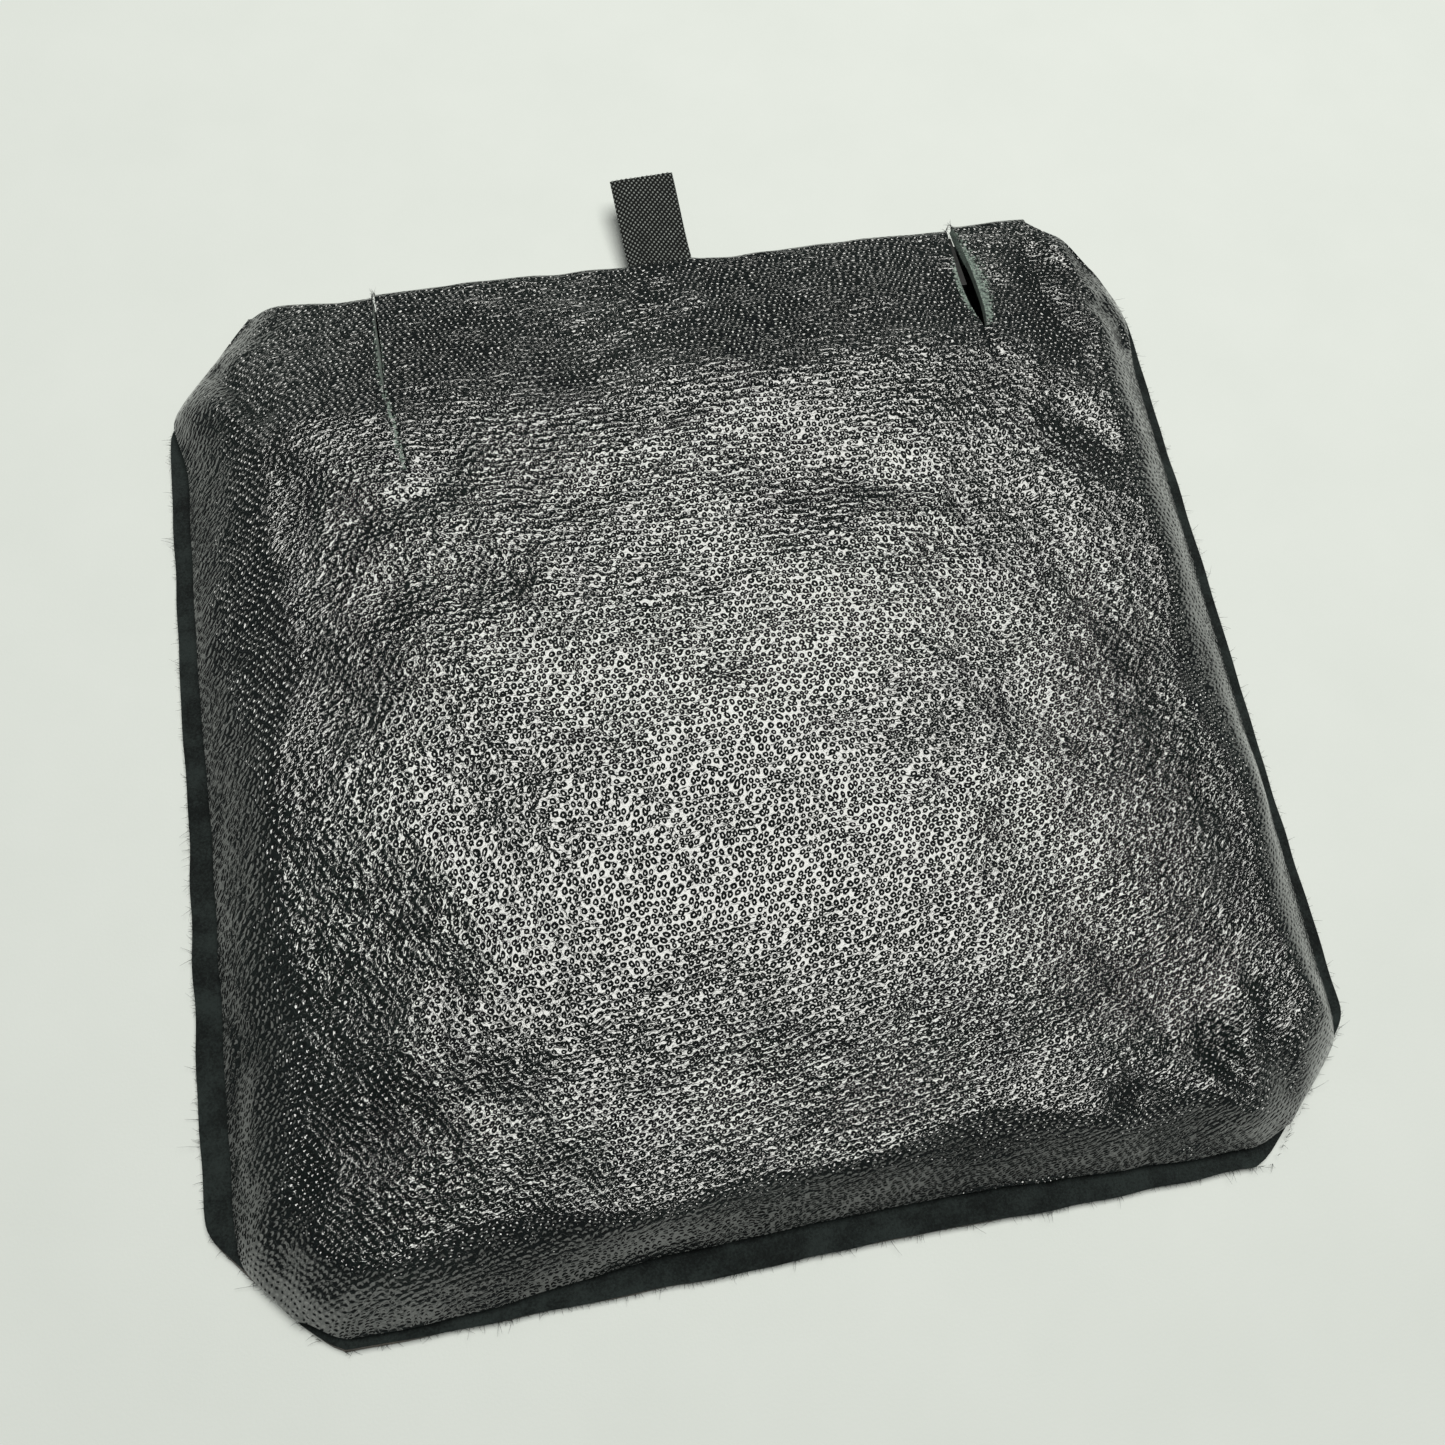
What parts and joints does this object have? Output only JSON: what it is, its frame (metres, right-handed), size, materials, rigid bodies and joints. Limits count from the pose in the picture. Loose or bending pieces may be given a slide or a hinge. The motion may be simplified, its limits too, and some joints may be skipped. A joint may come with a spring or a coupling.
{
  "type": "spring-top pouch",
  "caption": "Flat padded leather pouch with cut corners, a slit front lip held shut by spring stays, and a folded woven pull tab.",
  "frame": {"origin": "centre of the flat back face, where the pouch rests", "axes": "+X to the right across the mouth, +Y towards the mouth and the pull tab, +Z out of the front"},
  "size_m": [0.15, 0.1622, 0.0094],
  "materials": {
    "shell_leather": "pebbled grain, semi-gloss",
    "bond_film": "dried contact cement",
    "stay_steel": "bright rolled spring steel",
    "cap_plastic": "moulded, natural white",
    "padding_foam": "closed-cell foam sheet",
    "lining_cloth": "plain woven cloth",
    "tab_tape": "twill tape",
    "tab_thread": "sewing thread"
  },
  "bodies": {
    "pouch": {"back_panel": "shell_leather", "front_panel": "shell_leather", "seam_bond": "bond_film", "back_stay": "stay_steel", "back_stay_caps": "cap_plastic", "back_padding": "padding_foam", "back_lining": "lining_cloth", "front_lining": "lining_cloth", "front_padding": "padding_foam"},
    "lip": {"front_lip": "shell_leather", "front_stay": "stay_steel", "front_stay_caps": "cap_plastic", "pull_tab_ends": "tab_tape", "tab_stitching": "tab_thread"},
    "tab": {"pull_tab": "tab_tape"}
  },
  "joints": [
    {"name": "front_lip_open", "type": "hinge", "parent": "pouch", "child": "lip", "pos_m": [0.0037, 0.052, 0.0094], "axis": [1, 0, 0], "range_deg": [0, 60], "stiffness_Nm_per_rad": 0.02, "springref_deg": -5.73},
    {"name": "tab_flap", "type": "hinge", "parent": "lip", "child": "tab", "pos_m": [0.0025, 0.0734, 0.003], "axis": [1, 0, 0], "range_deg": [-8, 75], "stiffness_Nm_per_rad": 0.0005}
  ]
}
